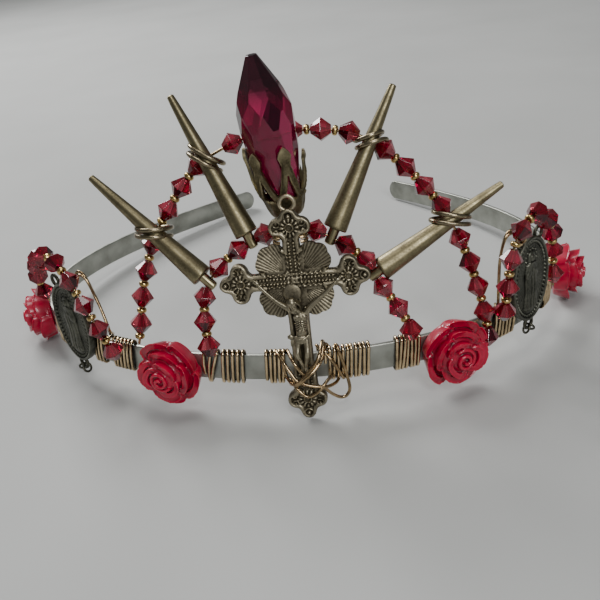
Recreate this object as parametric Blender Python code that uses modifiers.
"""Tiara: a bent strip headband that carries two beaded wire arches and their ornaments.

The strip is a flat horseshoe. Two arches of red glass bicones and gold spacers stand on its front,
four bronze cone spikes hang on the inner arch and are tied to the outer one, and a red crystal point
stands in a claw cup between the arches. A small crucifix is bound to the middle of the strip, an oval
medal framed by a short beaded arch sits at each temple, and four rose cabochons cover the joints.

Sizes are millimetres in the tables and metres in the meshes. The design frame has its zero at the
front of the strip's centre line, +X to the wearer's left and +Z up from the surface it stands on.
"""

from math import cos, pi, radians, sin, sqrt

import bmesh
import bpy
from mathutils import Matrix, Vector

MM = 0.001
GAP = 0.3

# Where the middle of the whole tiara's box lies in the design frame
ORIGIN_X = -6.1
ORIGIN_Y = 66.05

# Headband strip: its centre line is a flattened horseshoe, measured by an angle from the front
STRIP_HEIGHT = 7.0
STRIP_THICKNESS = 1.0
STRIP_END_RADIUS = 3.5
STRIP_FRONT_LEVEL = 12.05
STRIP_SLOPE = 0.0625
BAND_HALF_WIDTH = 66.3
BAND_HALF_DEPTH = 75.8
BAND_NARROWING = 0.348
BAND_FLATTENING = -0.2
BAND_SKEW = -7.0
BAND_LEFT_END = -146
BAND_RIGHT_END = 141
BAND_STEP = 5

# Binding wire and stringing wire
BINDING_RADIUS = 0.43
STRINGING_RADIUS = 0.35

# Wraps of binding wire round the strip: name, first angle, last angle, turns
WRAPS = (
    ("wrap_left_temple_rear", -56.5, -53.0, 3),
    ("wrap_left_temple_front", -42.2, -39.4, 3),
    ("wrap_left_arch_foot", -37.8, -32.1, 6),
    ("wrap_left_inner_foot", -18.1, -16.9, 2),
    ("wrap_left_front", -15.5, -11.3, 5),
    ("wrap_centre_left", -7.8, -5.0, 4),
    ("wrap_centre_right", 2.5, 9.6, 8),
    ("wrap_right_inner_foot", 13.9, 18.4, 6),
    ("wrap_right_arch_foot", 34.0, 40.5, 6),
    ("wrap_right_temple", 51.5, 56.0, 4),
)

# Beads
BICONE_LENGTH = 4.5
BICONE_RADIUS = 2.45
BICONE_END_RADIUS = 0.9
SPACER_LENGTH = 1.5
SPACER_RADIUS = 1.15
BARE_WIRE_MIN = 0.45
SHOULDER = 0.05

# Each arch: points of its wire (x, y, z) from left to right, then its runs of beads, each with the
# place of its first bead along the wire, the step between beads, and b for bicone or g for spacer
OUTER_ARCH = (
    (-44.3, 10.2, 15.75), (-42.9, 11.1, 21.0), (-40.4, 12.9, 31.3), (-36.3, 14.7, 41.5),
    (-31.7, 15.9, 48.6), (-23.3, 17.6, 58.1), (-14.5, 18.6, 62.6), (-6.5, 20.2, 64.2),
    (1.5, 20.0, 64.1), (9.6, 19.1, 63.5), (17.2, 18.1, 61.0), (25.5, 16.9, 53.9),
    (33.5, 15.1, 43.8), (38.6, 13.2, 32.8), (41.8, 11.3, 21.5), (43.1, 8.8, 13.5), (43.0, 8.4, 9.2),
)
OUTER_BEADS = (
    (2.2, 3.5, "gbgbgbgb"), (33.1, 3.25, "gbgbgb"), (59.3, 3.3, "b"), (73.9, 3.35, "bgbgb"),
    (96.5, 3.18, "bgbgbgb"), (124.7, 3.25, "bgbgbgbgb"),
)
INNER_ARCH = (
    (-24.2, 0.9, 17.0), (-24.4, 0.4, 19.4), (-24.7, 3.0, 24.8), (-23.9, 5.3, 31.0),
    (-20.2, 6.9, 36.4), (-14.4, 7.6, 40.7), (-8.6, 8.0, 43.5), (-2.0, 8.2, 44.2), (3.6, 8.1, 43.5),
    (9.8, 7.5, 39.7), (14.8, 6.8, 35.3), (17.9, 5.4, 29.5), (21.3, 3.1, 24.3), (23.9, 0.6, 19.9),
    (23.8, 1.0, 16.8),
)
INNER_BEADS = (
    (2.3, 3.01, "bgbgb"), (22.3, 3.3, "bgb"), (36.3, 3.3, "b"), (48.4, 3.3, "b"),
    (56.1, 3.1, "bgb"), (69.8, 3.02, "bgbgb"),
)
SIDE_ARCH_LEFT = (
    (-51.0, 10.0, 11.9), (-51.2, 9.4, 14.7), (-53.4, 9.0, 22.0), (-56.3, 10.8, 28.4),
    (-60.0, 14.2, 34.4), (-65.0, 19.6, 37.2), (-70.6, 26.4, 35.0), (-75.6, 34.4, 28.6),
    (-78.3, 39.6, 21.6), (-77.6, 40.8, 15.0),
)
SIDE_LEFT_BEADS = ((2.9, 3.3, "bgbgbgbgbgbgbgbgbg"),)
SIDE_ARCH_RIGHT = (
    (47.3, 10.0, 14.2), (47.5, 9.5, 17.2), (47.9, 8.1, 24.5), (48.8, 8.5, 31.5), (51.2, 10.4, 37.4),
    (55.9, 15.3, 39.6), (60.1, 21.4, 34.8), (62.3, 25.8, 28.3), (63.2, 28.4, 21.9),
    (63.6, 28.4, 15.5), (63.7, 29.0, 12.7),
)
SIDE_RIGHT_BEADS = ((3.1, 3.4, "bgbgbgbgbgbgbgbgb"),)

# Cone spikes: place of the peg on the inner arch (x, y, z), tip (x, y, z), length of the cone
SPIKES = (
    ("spike_left_inner", (-11.2, 7.8, 41.6), (-26.9, 20.2, 75.1), 36.0),
    ("spike_right_inner", (7.2, 7.9, 41.6), (24.3, 20.4, 72.3), 35.0),
    ("spike_left_outer", (-23.2, 6.4, 33.6), (-49.1, 18.0, 58.3), 35.0),
    ("spike_right_outer", (17.3, 6.3, 32.4), (48.0, 15.6, 47.8), 33.5),
)
SPIKE_BASE_RADIUS = 2.45
SPIKE_TIP_RADIUS = 0.6
PEG_RADIUS = 1.0
PEG_HOLE_RADIUS = 0.65
PEG_OVERHANG = 1.1
TIE_SLACK = 0.2
TIE_WIDTH = 1.4
TIE_TAPER = 0.7

# Crystal point and claw cup: foot of the axis, its direction, and profiles of height and radius
CRYSTAL_FOOT = (-2.2, 11.6, 45.4)
CRYSTAL_TIP = (-6.1, 12.0, 84.0)
CRYSTAL_RINGS = (
    (3.2, 1.9, 0.0), (8.5, 4.6, 0.0), (15.5, 5.8, 0.5), (21.5, 6.5, 0.0), (26.3, 6.75, 0.5),
    (31.2, 5.2, 0.0), (38.7, 1.1, 0.0),
)
CUP_RINGS = ((1.0, 1.8), (2.4, 3.6), (8.5, 5.9))
CUP_WALL = 0.8
CUP_FLOOR = (2.8, 2.7)
CLAWS = 6
CLAW_TIP = (17.4, 7.2)
CLAW_VALLEY = (11.0, 6.4)

# Crucifix: a cast plate that leans back from the strip; u runs across it and v up it
CROSS_X = -1.8
CROSS_FRONT_Y = -5.95
CROSS_LEAN = 10.5
CROSS_THICKNESS = 1.8
CROSS_FOOT = 0.25
CROSS_CENTRE = 34.4
CROSS_BAR = 2.2
CROSS_STEM = 2.6
TREFOIL_SIDE = 2.6
TREFOIL_RADIUS = 2.15
LOOP_HEIGHT = 53.0
LOOP_RADIUS = 1.65
LOOP_WIRE = 0.45
ARM_REACHES = (12.7, 12.8, 12.9, 30.2)
FAN_REACH = 10.6
FAN_SPREAD = (33, 57)
FAN_NOTCH = 7.0

# Roses: name, angle on the strip, distance of the back from its centre line, height of the middle
ROSES = (
    ("rose_left_front", -24.0, 0.85, 11.0),
    ("rose_right_front", 24.4, 0.95, 10.2),
    ("rose_left_side", -68.0, 0.85, 8.06),
    ("rose_right_side", 67.0, 0.85, 8.06),
)
ROSE_RINGS = (
    (0.0, 5.4, 0.0, 5, 0.0), (1.3, 6.9, 0.15, 5, 0.0), (3.9, 8.0, 0.25, 5, 0.0),
    (5.4, 7.1, 0.3, 5, 0.3), (4.9, 5.7, 0.1, 5, 0.5), (7.3, 5.0, 0.35, 4, 0.2),
    (6.6, 3.7, 0.1, 4, 0.6), (8.4, 2.5, 0.2, 3, 0.0), (7.7, 1.2, 0.0, 3, 0.0),
)
ROSE_POINTS = 18

# Medals: side, angle on the strip, distance of the back from its centre line, height of the middle
MEDALS = (("left", -45.0, 1.85, 18.4), ("right", 43.0, 1.85, 20.7))
MEDAL_HALF_WIDTH = 7.7
MEDAL_HALF_HEIGHT = 11.6
MEDAL_THICKNESS = 1.8
MEDAL_POINTS = 18
EYELET_RADIUS = 1.5
EYELET_WIRE = 0.45
TOP_EYELET_X = 3.6
LOWER_EYELET_DROP = 1.1
JUMP_RING_RADIUS = 1.75

MATERIALS = {
    "silver strip": ((0.62, 0.62, 0.58), 0.42, 1.0),
    "bronze wire": ((0.30, 0.21, 0.13), 0.35, 1.0),
    "red glass": ((0.45, 0.01, 0.05), 0.06, 0.0),
    "antique bronze": ((0.22, 0.19, 0.13), 0.45, 1.0),
    "crystal": ((0.42, 0.01, 0.12), 0.04, 0.0),
    "red resin": ((0.50, 0.01, 0.05), 0.28, 0.0),
}


def clear_scene():
    for obj in list(bpy.data.objects):
        bpy.data.objects.remove(obj, do_unlink=True)


def new_collection(name):
    collection = bpy.data.collections.new(name)
    bpy.context.scene.collection.children.link(collection)
    return collection


def add_object(name, data, finish, matrix=None):
    """A named piece of the tiara with a material of its own."""
    obj = bpy.data.objects.new(name, data)
    PARTS.objects.link(obj)
    obj.parent = TIARA
    if matrix is not None:
        obj.matrix_local = matrix
    colour, roughness, metallic = MATERIALS[finish]
    material = bpy.data.materials.new(name)
    material.use_nodes = True
    shader = material.node_tree.nodes["Principled BSDF"]
    shader.inputs["Base Color"].default_value = (*colour, 1.0)
    shader.inputs["Roughness"].default_value = roughness
    shader.inputs["Metallic"].default_value = metallic
    data.materials.append(material)
    return obj


def add_tool(name, mesh, matrix=None):
    """A body that is cut from a piece, or joined to it."""
    obj = bpy.data.objects.new(name, mesh)
    TOOLS.objects.link(obj)
    obj.parent = TIARA
    if matrix is not None:
        obj.matrix_local = matrix
    obj.hide_render = True
    obj.display_type = "WIRE"
    return obj


def boolean(obj, operation, tool, solver="EXACT"):
    modifier = obj.modifiers.new(tool.name, "BOOLEAN")
    modifier.operation = operation
    modifier.solver = solver
    modifier.object = tool


def loft(name, rings, closed=False):
    """A skin over rings with equally many points, capped at both ends unless it closes on itself."""
    bm = bmesh.new()
    rows = [[bm.verts.new(Vector(p) * MM) for p in ring] for ring in rings]
    pairs = list(zip(rows, rows[1:]))
    if closed:
        pairs.append((rows[-1], rows[0]))
    for lower, upper in pairs:
        count = len(lower)
        for i in range(count):
            j = (i + 1) % count
            bm.faces.new((lower[i], lower[j], upper[j], upper[i]))
    if not closed:
        bm.faces.new(reversed(rows[0]))
        bm.faces.new(rows[-1])
    return finish_mesh(name, bm)


def finish_mesh(name, bm):
    bmesh.ops.recalc_face_normals(bm, faces=bm.faces[:])
    mesh = bpy.data.meshes.new(name)
    bm.to_mesh(mesh)
    bm.free()
    mesh.shade_smooth()
    mesh.set_sharp_from_angle(angle=radians(30))
    return mesh


def tube(name, points, radii, sides):
    """A round bar through the points; its radius may change from point to point."""
    curve = bpy.data.curves.new(name, "CURVE")
    curve.dimensions = "3D"
    curve.bevel_depth = MM
    curve.bevel_resolution = (sides - 4) // 2
    curve.use_fill_caps = True
    spline = curve.splines.new("POLY")
    spline.points.add(len(points) - 1)
    for point, place, radius in zip(spline.points, points, radii):
        point.co = (*(Vector(place) * MM), 1.0)
        point.radius = radius
    return curve


def as_mesh(name, curve):
    """A curve's surface as a closed mesh, for joining and cutting."""
    holder = bpy.data.objects.new(name, curve)
    PARTS.objects.link(holder)
    evaluated = holder.evaluated_get(bpy.context.evaluated_depsgraph_get())
    mesh = bpy.data.meshes.new_from_object(evaluated)
    bm = bmesh.new()
    bm.from_mesh(mesh)
    bmesh.ops.remove_doubles(bm, verts=bm.verts[:], dist=1e-6)
    bpy.data.objects.remove(holder, do_unlink=True)
    return finish_mesh(name, bm)


class Wire:
    """A smooth wire through points, measured along its length."""

    STEPS = 12

    def __init__(self, points):
        knots = [Vector(p) for p in points]
        knots = [2 * knots[0] - knots[1], *knots, 2 * knots[-1] - knots[-2]]
        self.places = [knots[1]]
        for a, b, c, d in zip(knots, knots[1:], knots[2:], knots[3:]):
            for step in range(1, self.STEPS + 1):
                t = step / self.STEPS
                place = (2 * b + (c - a) * t + (2 * a - 5 * b + 4 * c - d) * t ** 2
                         + (3 * b - a - 3 * c + d) * t ** 3) / 2
                self.places.append(place)
        self.marks = [0.0]
        for p, q in zip(self.places, self.places[1:]):
            self.marks.append(self.marks[-1] + (q - p).length)
        self.length = self.marks[-1]

    def at(self, distance):
        for i in range(1, len(self.marks)):
            if self.marks[i] >= distance or i == len(self.marks) - 1:
                share = (distance - self.marks[i - 1]) / (self.marks[i] - self.marks[i - 1])
                return self.places[i - 1].lerp(self.places[i], min(max(share, 0.0), 1.0))

    def direction(self, distance):
        return (self.at(distance + 0.6) - self.at(distance - 0.6)).normalized()

    def crossing(self, start, axis):
        """How far along the wire it comes nearest to a straight line."""
        def distance(place):
            return (place - start).cross(axis).length
        index = min(range(len(self.places)), key=lambda i: distance(self.places[i]))
        return self.marks[index]

    def nearest(self, place):
        """How far along the wire its point nearest to a place lies."""
        index = min(range(len(self.places)), key=lambda i: (self.places[i] - place).length)
        return self.marks[index]


def band_point(angle):
    t = radians(angle)
    spread = 1 + BAND_NARROWING * cos(t) + BAND_FLATTENING * (cos(t) ** 2 - 0.5)
    x = BAND_HALF_WIDTH * sin(t) * spread + BAND_SKEW * sin(t) ** 2
    y = BAND_HALF_DEPTH * (1 - cos(t))
    return Vector((x, y, STRIP_FRONT_LEVEL - STRIP_SLOPE * y))


def band_tangent(angle):
    run = band_point(angle + 0.5) - band_point(angle - 0.5)
    run.z = 0
    return run.normalized()


def band_outward(angle):
    run = band_tangent(angle)
    return Vector((run.y, -run.x, 0))


def facing_matrix(angle, distance, height):
    """Local x along the strip, y up and z out of it, with the zero at a distance from its middle."""
    across, out = band_tangent(angle), band_outward(angle)
    place = band_point(angle) + out * distance
    place.z = height
    turn = Matrix((across, (0, 0, 1), out)).transposed().to_4x4()
    return Matrix.Translation(place * MM) @ turn


def headband():
    """The strip: a ribbon along the centre line, given its thickness by Solidify."""
    angles = [BAND_LEFT_END + BAND_STEP * i for i in range((BAND_RIGHT_END - BAND_LEFT_END) // BAND_STEP)]
    angles.append(BAND_RIGHT_END)
    speed = (band_point(1) - band_point(0)).length
    rows = []
    for end, inward in ((BAND_LEFT_END, 1), (BAND_RIGHT_END, -1)):
        rounded = []
        for share in (0.06, 0.3, 0.65, 1.0):
            inset = STRIP_END_RADIUS * share
            half = sqrt(STRIP_END_RADIUS ** 2 - (STRIP_END_RADIUS - inset) ** 2)
            rounded.append((end + inward * inset / speed, half))
        rows.append(rounded if inward > 0 else rounded[::-1])
    middle = [(a, STRIP_HEIGHT / 2) for a in angles[1:-1]]
    bm = bmesh.new()
    columns = []
    for angle, half in (*rows[0], *middle, *rows[1]):
        place = band_point(angle)
        columns.append([bm.verts.new((place + Vector((0, 0, side * half))) * MM) for side in (-1, 1)])
    for (a, b), (c, d) in zip(columns, columns[1:]):
        bm.faces.new((a, c, d, b))
    obj = add_object("headband", finish_mesh("headband", bm), "silver strip")
    solidify = obj.modifiers.new("thickness", "SOLIDIFY")
    solidify.thickness = STRIP_THICKNESS * MM
    solidify.offset = 0


def wrap_ring(angle, rise):
    """Eight points round the strip's section, a rise away from its surface."""
    centre, out = band_point(angle), band_outward(angle)
    half_width = STRIP_THICKNESS / 2 + rise
    half_height = STRIP_HEIGHT / 2 + rise
    corner = min(0.5, rise * 0.5)
    quarter = ((half_width, half_height - corner), (half_width - corner, half_height))
    points = [*quarter, *[(-w, h) for w, h in reversed(quarter)]]
    points += [(-w, -h) for w, h in points]
    return [centre + out * w + Vector((0, 0, h)) for w, h in points]


def wraps():
    """Each wrap is a close coil of wire round the strip, as a sleeve with a ridge for each turn."""
    ridge, valley = GAP + 2 * BINDING_RADIUS, GAP + 1.1 * BINDING_RADIUS
    for name, first, last, turns in WRAPS:
        outer = []
        for i in range(2 * turns + 1):
            angle = first + (last - first) * i / (2 * turns)
            outer.append(wrap_ring(angle, ridge if i % 2 else valley))
        inner = [wrap_ring(last + (first - last) * i / 2, GAP) for i in range(3)]
        add_object(name, loft(name, outer + inner, closed=True), "bronze wire")


def bead_stations(runs, length):
    """Distances and radii along a strung wire: the wire, and each bead's ends and widest places."""
    half = BICONE_LENGTH / 2
    bicone = ((-half, BICONE_END_RADIUS), (0, BICONE_RADIUS), (half, BICONE_END_RADIUS))
    spacer = ((-SPACER_LENGTH / 2, SPACER_RADIUS), (SPACER_LENGTH / 2, SPACER_RADIUS))
    stations = [(0.0, STRINGING_RADIUS)]
    for first, step, letters in runs:
        for i, letter in enumerate(letters):
            bead = bicone if letter == "b" else spacer
            middle = first + i * step
            add_bare_wire(stations, middle + bead[0][0])
            stations += [(middle + offset, radius) for offset, radius in bead]
    add_bare_wire(stations, length)
    stations.append((length, STRINGING_RADIUS))
    return stations


def add_bare_wire(stations, until):
    """Bare wire from the last station up to a place, in steps short enough to follow the curve."""
    start = stations[-1][0]
    if until - start < BARE_WIRE_MIN:
        return
    if len(stations) > 1:
        stations.append((start + SHOULDER, STRINGING_RADIUS))
    pieces = int((until - start) / 2.5) + 1
    for i in range(1, pieces):
        stations.append((start + (until - start) * i / pieces, STRINGING_RADIUS))
    stations.append((until - SHOULDER, STRINGING_RADIUS))


def bead_string(name, points, runs):
    wire = Wire(points)
    stations = bead_stations(runs, wire.length)
    places = [wire.at(distance) for distance, _ in stations]
    curve = tube(name, places, [radius for _, radius in stations], sides=10)
    add_object(name, curve, "red glass")
    return wire


def frame_along(place, direction):
    """A matrix whose z runs along a direction from a place."""
    turn = Vector(direction).to_track_quat("Z", "Y").to_matrix().to_4x4()
    return Matrix.Translation(Vector(place) * MM) @ turn


def cylinder(name, radius, height, sides, top_radius=None):
    bm = bmesh.new()
    bmesh.ops.create_cone(
        bm, cap_ends=True, segments=sides, radius1=radius * MM,
        radius2=(radius if top_radius is None else top_radius) * MM, depth=height * MM)
    return finish_mesh(name, bm)


def spike(name, peg, tip, cone_length, inner):
    """A turned cone with a peg at its foot; the inner arch's wire runs through the peg."""
    tip = Vector(tip)
    mark = inner.nearest(Vector(peg))
    hole = inner.at(mark)
    foot = hole - (tip - hole).normalized() * PEG_OVERHANG
    length = (tip - foot).length
    shoulder = length - cone_length
    profile = (
        (0.0, length), (SPIKE_TIP_RADIUS, length), (SPIKE_BASE_RADIUS, shoulder + 0.4),
        (SPIKE_BASE_RADIUS - 0.3, shoulder), (PEG_RADIUS, shoulder), (PEG_RADIUS, 0.0), (0.0, 0.0),
    )
    mesh = bpy.data.meshes.new(name)
    edges = [(i, i + 1) for i in range(len(profile) - 1)]
    mesh.from_pydata([(r * MM, 0, z * MM) for r, z in profile], edges, [])
    obj = add_object(name, mesh, "antique bronze", frame_along(foot, tip - foot))
    turned = obj.modifiers.new("turned", "SCREW")
    turned.steps = turned.render_steps = 12
    turned.use_merge_vertices = True
    turned.merge_threshold = 1e-6
    drill = add_tool(name + "_hole", cylinder(name + "_hole", PEG_HOLE_RADIUS, 8.0, 12),
                     frame_along(hole, inner.direction(mark)))
    boolean(obj, "DIFFERENCE", drill)
    return foot, (tip - foot).normalized(), shoulder


def oval_tie(name, centre, axis, across, half_width, front, back, climb, taper=0.0):
    """A coil round an upright and the wire behind it, narrower behind by its taper.

    Climb lists turn angle and height.
    """
    back_way = axis.cross(across).normalized()
    if back_way.y < 0:
        back_way = -back_way
    depth, shift = (front + back) / 2, (back - front) / 2
    points = []
    steps = int((climb[-1][0] - climb[0][0]) / 40)
    for i in range(steps + 1):
        degrees = climb[0][0] + (climb[-1][0] - climb[0][0]) * i / steps
        height = climb[-1][1]
        for (a0, h0), (a1, h1) in zip(climb, climb[1:]):
            if a0 <= degrees <= a1:
                height = h0 + (h1 - h0) * (degrees - a0) / (a1 - a0)
                break
        phase = radians(degrees)
        width = half_width * (1 - taper * (1 + sin(phase)) / 2)
        points.append(centre + across * width * cos(phase)
                      + back_way * (shift + depth * sin(phase)) + axis * height)
    curve = tube(name, points, [BINDING_RADIUS] * len(points), sides=6)
    add_object(name, curve, "bronze wire")


def spike_tie(name, foot, axis, shoulder, cone_length, outer):
    """The wire that holds a spike against the bare stretch of the outer arch behind it."""
    mark = outer.crossing(foot, axis)
    target = outer.at(mark)
    along = (target - foot).dot(axis)
    centre = foot + axis * along
    distance = (target - centre).length
    share = (along - shoulder) / cone_length
    radius = SPIKE_BASE_RADIUS + (SPIKE_TIP_RADIUS - SPIKE_BASE_RADIUS) * share + TIE_SLACK
    wire_way = outer.direction(mark)
    across = (wire_way - axis * wire_way.dot(axis)).normalized()
    reach = GAP + BINDING_RADIUS
    front = radius + reach
    back = distance + BICONE_END_RADIUS + reach
    climb = ((-90, -3.5), (410, -2.3), (490, 2.3), (810, 3.2))
    oval_tie(name, centre, axis, across, front * TIE_WIDTH, front, back, climb, TIE_TAPER)


def crystal():
    """A faceted point: rings of eight corners, every other ring turned by half a step."""
    foot, tip = Vector(CRYSTAL_FOOT), Vector(CRYSTAL_TIP)
    bm = bmesh.new()
    for height, radius, shift in CRYSTAL_RINGS:
        for i in range(8):
            turn = 2 * pi * (i + 0.5 + shift) / 8
            bm.verts.new(Vector((radius * cos(turn), radius * sin(turn), height)) * MM)
    bmesh.ops.convex_hull(bm, input=bm.verts[:])
    add_object("crystal_point", finish_mesh("crystal_point", bm), "crystal", frame_along(foot, tip - foot))


def crystal_cup():
    """A tulip cup with pointed claws; its wall stands a gap away from the crystal."""
    count = 2 * CLAWS
    outer = [[(r * cos(2 * pi * i / count), r * sin(2 * pi * i / count), z) for i in range(count)]
             for z, r in CUP_RINGS]
    rim, rim_inner = [], []
    for i in range(count):
        turn = 2 * pi * i / count
        height, radius = CLAW_TIP if i % 2 else CLAW_VALLEY
        rim.append((radius * cos(turn), radius * sin(turn), height))
        inner = radius - CUP_WALL
        rim_inner.append((inner * cos(turn), inner * sin(turn), height))
    inner = [[(r * cos(2 * pi * i / count), r * sin(2 * pi * i / count), z) for i in range(count)]
             for z, r in ((CUP_RINGS[-1][0], CUP_RINGS[-1][1] - CUP_WALL), CUP_FLOOR)]
    mesh = loft("crystal_cup", [*outer, rim, rim_inner, *inner])
    foot, tip = Vector(CRYSTAL_FOOT), Vector(CRYSTAL_TIP)
    add_object("crystal_cup", mesh, "antique bronze", frame_along(foot, tip - foot))


def cross_matrix():
    """Local x across the crucifix, y up it and z out of its front face."""
    lean = radians(CROSS_LEAN)
    turn = Matrix(((1, 0, 0), (0, sin(lean), -cos(lean)), (0, cos(lean), sin(lean))))
    return Matrix.Translation(Vector((CROSS_X, CROSS_FRONT_Y, CROSS_FOOT)) * MM) @ turn.to_4x4()


def cross_place(u, v, out=0.0):
    return (cross_matrix() @ (Vector((u, v, out)) * MM)) / MM


def arc(centre_a, centre_b, radius, start, stop, count):
    """Points of an arc in an arm's frame, a along the arm and b across it, angles in degrees."""
    for i in range(count):
        t = radians(start + (stop - start) * i / (count - 1))
        yield centre_a + radius * cos(t), centre_b + radius * sin(t)


def cross_outline():
    """Four arms that end in trefoils, with a scalloped fan in each corner between them."""
    points = []
    for quarter, reach in enumerate(ARM_REACHES):
        bar = CROSS_STEM if quarter == 3 else CROSS_BAR
        arm = [(FAN_NOTCH, -bar), (reach - 1.9, -bar)]
        arm += arc(reach, -TREFOIL_SIDE, TREFOIL_RADIUS, -160, 5, 5)
        arm += arc(reach + 2.3, 0, TREFOIL_RADIUS * 0.9, -60, 60, 4)
        arm += arc(reach, TREFOIL_SIDE, TREFOIL_RADIUS, -5, 160, 5)
        arm += [(reach - 1.9, bar), (FAN_NOTCH, bar)]
        fan = []
        for i in range(5):
            t = radians(FAN_SPREAD[0] + (FAN_SPREAD[1] - FAN_SPREAD[0]) * i / 4)
            radius = FAN_REACH * (1.0 if i % 2 == 0 else 0.93)
            fan.append((radius * cos(t), radius * sin(t)))
        turn = (0, pi / 2, pi, 3 * pi / 2)[quarter]
        for a, b in arm + fan:
            points.append((a * cos(turn) - b * sin(turn), a * sin(turn) + b * cos(turn) + CROSS_CENTRE))
    return points


def plate(name, outline, thickness):
    """A flat plate with a given outline, its front face at local z = 0."""
    curve = bpy.data.curves.new(name, "CURVE")
    curve.dimensions = "2D"
    curve.fill_mode = "BOTH"
    curve.extrude = thickness / 2 * MM
    spline = curve.splines.new("POLY")
    spline.use_cyclic_u = True
    spline.points.add(len(outline) - 1)
    for point, (x, y) in zip(spline.points, outline):
        point.co = (x * MM, y * MM, 0, 1)
    mesh = as_mesh(name, curve)
    mesh.transform(Matrix.Translation((0, 0, -thickness / 2 * MM)))
    return mesh


def torus(name, radius, wire, around, section):
    rings = []
    for i in range(around):
        turn = 2 * pi * i / around
        ring = []
        for j in range(section):
            t = 2 * pi * j / section
            reach = radius + wire * cos(t)
            ring.append((reach * cos(turn), reach * sin(turn), wire * sin(t)))
        rings.append(ring)
    return loft(name, rings, closed=True)


def crucifix():
    """The cast cross: plate, flower bosses, centre ridges, hanging loop and the figure on it."""
    frame = cross_matrix()
    obj = add_object("crucifix", plate("crucifix", cross_outline(), CROSS_THICKNESS),
                     "antique bronze", frame)
    places = [(ARM_REACHES[0], 0), (0, ARM_REACHES[1]), (-ARM_REACHES[2], 0), (0, -ARM_REACHES[3])]
    for i, (u, v) in enumerate(places):
        boss = cylinder(f"boss_{i}", 1.5, 1.6, 10, top_radius=1.1)
        at = frame @ Matrix.Translation(Vector((u, CROSS_CENTRE + v, 0)) * MM)
        boolean(obj, "UNION", add_tool(f"crucifix_boss_{i}", boss, at), "MANIFOLD")
    loop = torus("crucifix_loop", LOOP_RADIUS, LOOP_WIRE, 12, 6)
    at = frame @ Matrix.Translation(Vector((0, LOOP_HEIGHT, -CROSS_THICKNESS / 2)) * MM)
    boolean(obj, "UNION", add_tool("crucifix_loop", loop, at), "MANIFOLD")
    centre = CROSS_CENTRE
    body = ((0.2, centre - 6.6, 0.6), (0.1, centre - 7.4, 1.9), (0.0, centre - 10.5, 1.6),
            (-0.3, centre - 13.0, 1.8), (0.2, centre - 16.5, 1.4), (0.0, centre - 20.4, 0.7))
    arms = ((-9.6, centre - 0.6, 0.6), (-4.8, centre - 4.0, 0.75), (0.0, centre - 7.2, 0.9),
            (4.8, centre - 3.8, 0.75), (9.8, centre - 0.4, 0.6))
    for part, stations in (("body", body), ("arms", arms)):
        points = [(u, v, 0.5) for u, v, _ in stations]
        shape = as_mesh(part, tube(part, points, [r for _, _, r in stations], sides=8))
        boolean(obj, "UNION", add_tool("figure_" + part, shape, frame), "MANIFOLD")
    bm = bmesh.new()
    bmesh.ops.create_uvsphere(bm, u_segments=8, v_segments=6, radius=1.35 * MM)
    head = finish_mesh("head", bm)
    at = frame @ Matrix.Translation(Vector((-0.9, centre - 5.6, 1.3)) * MM)
    boolean(obj, "UNION", add_tool("figure_head", head, at), "MANIFOLD")


def crucifix_binding():
    """Two crossed turns of wire round the strip and the foot of the crucifix."""
    side, rise = 3.4, STRIP_HEIGHT / 2 + GAP + BINDING_RADIUS + 0.35
    behind = STRIP_THICKNESS / 2 + GAP + BINDING_RADIUS + 0.25
    level = STRIP_FRONT_LEVEL
    points = []
    for lap, ahead in enumerate((-5.0, -6.0)):
        lead = -1 if lap == 0 else 1
        left, right = CROSS_X + lead * (side + lap), CROSS_X - lead * (side + lap * 0.9)
        points += [
            (left, behind, level), (left, behind, level + rise), (left, -2.2, level + rise + 0.2),
            (left, ahead, level + 2.6), (CROSS_X, ahead - 0.3, level - 0.8),
            (right, ahead, level - 2.8), (right, -2.6, level - rise - 0.2),
            (right, behind, level - rise),
        ]
        if lap == 0:
            points += [(right, behind, level - 1.5)]
    points.append((points[-1][0], behind, level - 1.5))
    wire = Wire(points)
    count = int(wire.length / 1.5)
    places = [wire.at(wire.length * i / count) for i in range(count + 1)]
    add_object("crucifix_binding", tube("crucifix_binding", places, [BINDING_RADIUS] * (count + 1), 6),
               "bronze wire")


def crucifix_tie(inner):
    """The small tie that holds the crucifix's top arm against the inner arch."""
    target = inner.at(inner.nearest(Vector((CROSS_X, 8.2, 44.0))))
    axis = (cross_matrix().to_3x3() @ Vector((0, 1, 0))).normalized()
    level = (target - cross_place(0, 0)).dot(axis)
    centre = cross_place(0, level, -CROSS_THICKNESS / 2)
    front = CROSS_THICKNESS / 2 + GAP + BINDING_RADIUS + 1.3
    back = (target - centre).length + STRINGING_RADIUS + GAP + BINDING_RADIUS + 0.2
    climb = ((-90, -2.2), (270, -1.25), (410, -1.2), (450, -0.3))
    oval_tie("crucifix_tie", centre, axis, Vector((1, 0, 0)), CROSS_BAR + 1.5, front, back, climb)


def roses():
    """Moulded rose cabochons: rings of petals that climb to a tight middle, on a flat back."""
    for name, angle, distance, height in ROSES:
        rings = []
        for level, radius, wave, petals, shift in ROSE_RINGS:
            ring = []
            for i in range(ROSE_POINTS):
                turn = 2 * pi * i / ROSE_POINTS
                reach = radius + wave * cos(petals * turn + 2 * pi * shift)
                ring.append((reach * cos(turn), reach * sin(turn), level))
            rings.append(ring)
        add_object(name, loft(name, rings), "red resin", facing_matrix(angle, distance, height))


def medal_mesh(name):
    """An oval plate with a raised rim on its front."""
    rings = []
    for inset, level in ((0.4, 0.0), (0.0, 0.4), (0.0, 1.4), (0.4, 1.8), (1.2, 1.8), (1.4, 1.4)):
        ring = []
        for i in range(MEDAL_POINTS):
            turn = 2 * pi * i / MEDAL_POINTS
            ring.append(((MEDAL_HALF_WIDTH - inset) * cos(turn),
                         (MEDAL_HALF_HEIGHT - inset) * sin(turn), level))
        rings.append(ring)
    return loft(name, rings)


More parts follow.
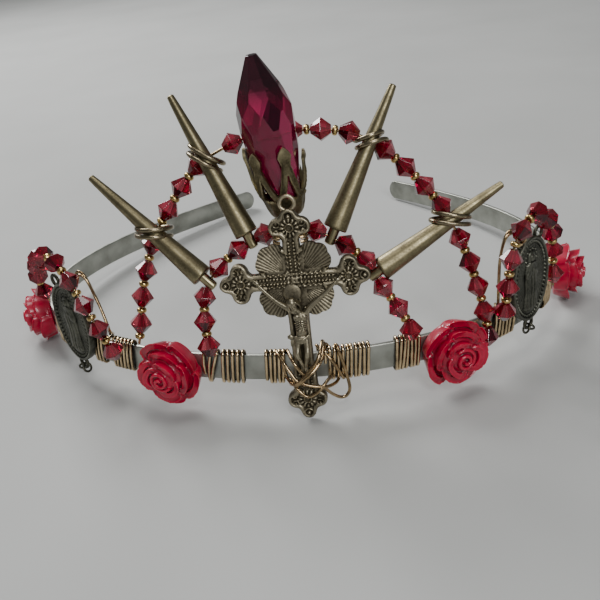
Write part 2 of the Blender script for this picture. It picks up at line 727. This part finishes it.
def medals():
    """Oval medals with a robed figure in relief, two eyelets on top and one below."""
    for side, angle, distance, height in MEDALS:
        name = "medal_" + side
        frame = facing_matrix(angle, distance, height)
        obj = add_object(name, medal_mesh(name), "antique bronze", frame)
        top = MEDAL_HALF_HEIGHT * sqrt(1 - (TOP_EYELET_X / MEDAL_HALF_WIDTH) ** 2)
        level = MEDAL_THICKNESS / 2
        eyelets = ((-TOP_EYELET_X, top + 1.2), (TOP_EYELET_X, top + 1.2), (0, -MEDAL_HALF_HEIGHT - LOWER_EYELET_DROP))
        for i, (x, y) in enumerate(eyelets):
            ring = torus(f"{name}_eyelet_{i}", EYELET_RADIUS, EYELET_WIRE, 10, 5)
            at = frame @ Matrix.Translation(Vector((x, y, level)) * MM)
            boolean(obj, "UNION", add_tool(f"{name}_eyelet_{i}", ring, at))
        points = ((0, -8.0, 1.2), (0, -2.0, 1.2), (0, 3.0, 1.2), (0, 5.2, 1.2))
        shape = as_mesh("robe", tube("robe", points, (2.1, 1.7, 1.3, 0.5), sides=8))
        shape.transform(Matrix.Diagonal((1.3, 1.0, 0.5, 1.0)))
        lift = frame @ Matrix.Translation((0, 0, 0.9 * MM))
        boolean(obj, "UNION", add_tool(name + "_robe", shape, lift))
        jump_ring(side, frame, level)
        hanger(side, frame, top, level)


def jump_ring(side, frame, level):
    """The small ring that hangs in the medal's lower eyelet."""
    name = "medal_ring_" + side
    turn = Matrix.Rotation(radians(90), 4, "Y")
    play = EYELET_RADIUS - EYELET_WIRE - GAP - STRINGING_RADIUS
    middle = -MEDAL_HALF_HEIGHT - LOWER_EYELET_DROP - play - JUMP_RING_RADIUS
    at = frame @ Matrix.Translation(Vector((0, middle, level)) * MM) @ turn
    add_object(name, torus(name, JUMP_RING_RADIUS, STRINGING_RADIUS, 12, 6), "antique bronze", at)


def hanger(side, frame, top, level):
    """The bent wire that rises behind the medal from the strip and hooks into its eyelet."""
    name = "medal_hanger_" + side
    inward = 1 if side == "left" else -1
    eyelet = frame @ (Vector((inward * TOP_EYELET_X, top + 1.2, level)) * MM) / MM
    out = (frame.to_3x3() @ Vector((0, 0, 1))).normalized()
    across = (frame.to_3x3() @ Vector((1, 0, 0))).normalized() * inward
    up = Vector((0, 0, 1))
    foot = band_point(-37.6 if side == "left" else 36.6)
    points = [
        foot + up * (STRIP_HEIGHT / 2 + 1.6),
        foot + up * (STRIP_HEIGHT / 2 + 6.0) - out * 0.6,
        eyelet - out * 3.4 + across * 3.2 - up * 4.0,
        eyelet - out * 2.6 + across * 1.4 + up * 0.2,
        eyelet - out * 1.2 + across * 0.1 + up * 0.1,
        eyelet + out * 1.0,
    ]
    wire = Wire(points)
    count = 12
    places = [wire.at(wire.length * i / count) for i in range(count + 1)]
    add_object(name, tube(name, places, [STRINGING_RADIUS] * (count + 1), 6), "bronze wire")


def build():
    headband()
    wraps()
    outer = bead_string("outer_arch", OUTER_ARCH, OUTER_BEADS)
    inner = bead_string("inner_arch", INNER_ARCH, INNER_BEADS)
    bead_string("side_arch_left", SIDE_ARCH_LEFT, SIDE_LEFT_BEADS)
    bead_string("side_arch_right", SIDE_ARCH_RIGHT, SIDE_RIGHT_BEADS)
    for name, peg, tip, cone_length in SPIKES:
        foot, axis, shoulder = spike(name, peg, tip, cone_length, inner)
        spike_tie(name + "_tie", foot, axis, shoulder, cone_length, outer)
    crystal()
    crystal_cup()
    crucifix()
    crucifix_binding()
    crucifix_tie(inner)
    roses()
    medals()


clear_scene()
PARTS = new_collection("tiara")
TOOLS = new_collection("tiara_tools")
TIARA = bpy.data.objects.new("tiara_origin", None)
PARTS.objects.link(TIARA)
TIARA.location = Vector((-ORIGIN_X, -ORIGIN_Y, 0)) * MM
build()
